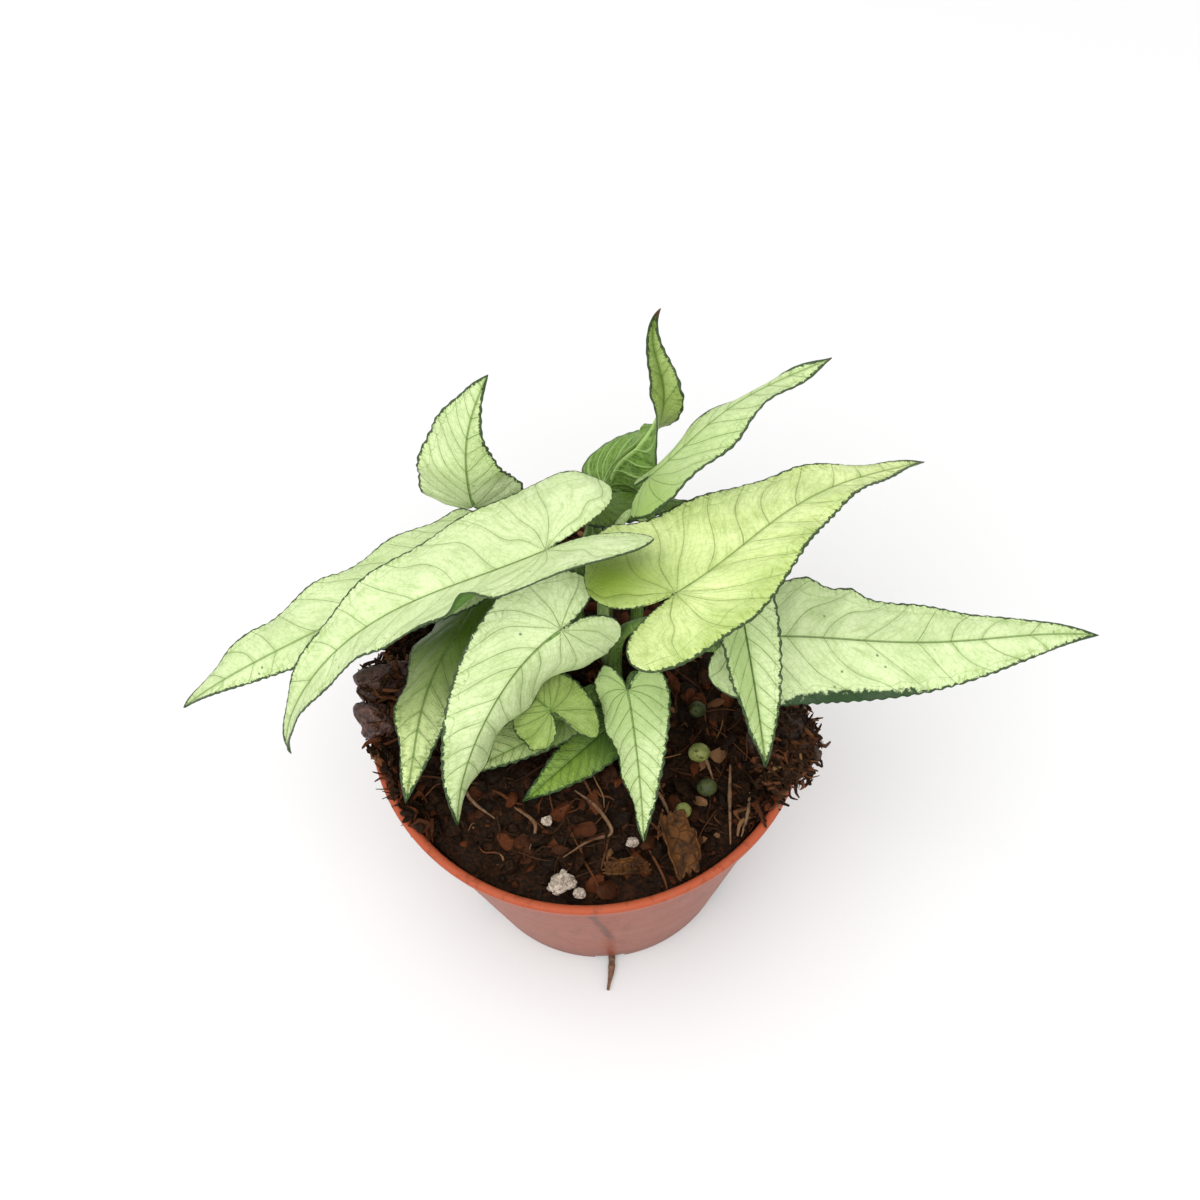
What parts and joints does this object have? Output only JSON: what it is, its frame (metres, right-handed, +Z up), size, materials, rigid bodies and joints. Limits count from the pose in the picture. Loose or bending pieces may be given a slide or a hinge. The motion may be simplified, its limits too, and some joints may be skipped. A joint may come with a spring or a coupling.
{
  "type": "potted arrowhead plant",
  "caption": "Arrowhead plant with long pale arrow-shaped leaves on thin stalks, growing in bark compost in a small tapered terracotta-coloured plastic nursery pot.",
  "frame": {"origin": "centre of the pot's flat underside, on the surface it stands on", "axes": "+Z up; +X to the right along the plant's widest spread of leaves; -Y towards the front, where the soil is open and the root comes out"},
  "size_m": [0.1875, 0.0936, 0.1371],
  "materials": {
    "terracotta_plastic": "satin",
    "soil": "matte",
    "pale_leaf": "satin",
    "lime_leaf": "satin",
    "mid_leaf": "satin",
    "dark_leaf": "satin",
    "shoot": "satin",
    "bark": "matte",
    "fibre": "matte",
    "perlite": "matte",
    "bead": "satin",
    "bead_dark": "satin",
    "dry_leaf": "matte",
    "root": "matte"
  },
  "bodies": {
    "root": {"pot": "terracotta_plastic", "soil": "soil", "leaf_far_left": "pale_leaf", "leaf_front_left": "pale_leaf", "leaf_left_low": "mid_leaf", "leaf_centre": "pale_leaf", "leaf_under_centre": "mid_leaf", "leaf_low_left": "mid_leaf", "leaf_low_dark": "dark_leaf", "leaf_front_small": "pale_leaf", "leaf_big_right": "lime_leaf", "leaf_far_right": "pale_leaf", "leaf_right_down": "pale_leaf", "leaf_back_small": "pale_leaf", "leaf_twisted": "dark_leaf", "leaf_back_right": "pale_leaf", "leaf_back_dark": "dark_leaf", "new_shoot": "shoot", "bark_chip_upper": "bark", "bark_chip_lower": "bark", "fibre_clump": "fibre", "perlite_cluster": "perlite", "perlite_1": "perlite", "perlite_2": "perlite", "perlite_3": "perlite", "bead_1": "bead", "bead_2": "bead", "bead_3": "bead_dark", "bead_4": "bead_dark", "dry_leaf_1": "dry_leaf", "dry_leaf_2": "dry_leaf", "root": "root"}
  },
  "joints": []
}
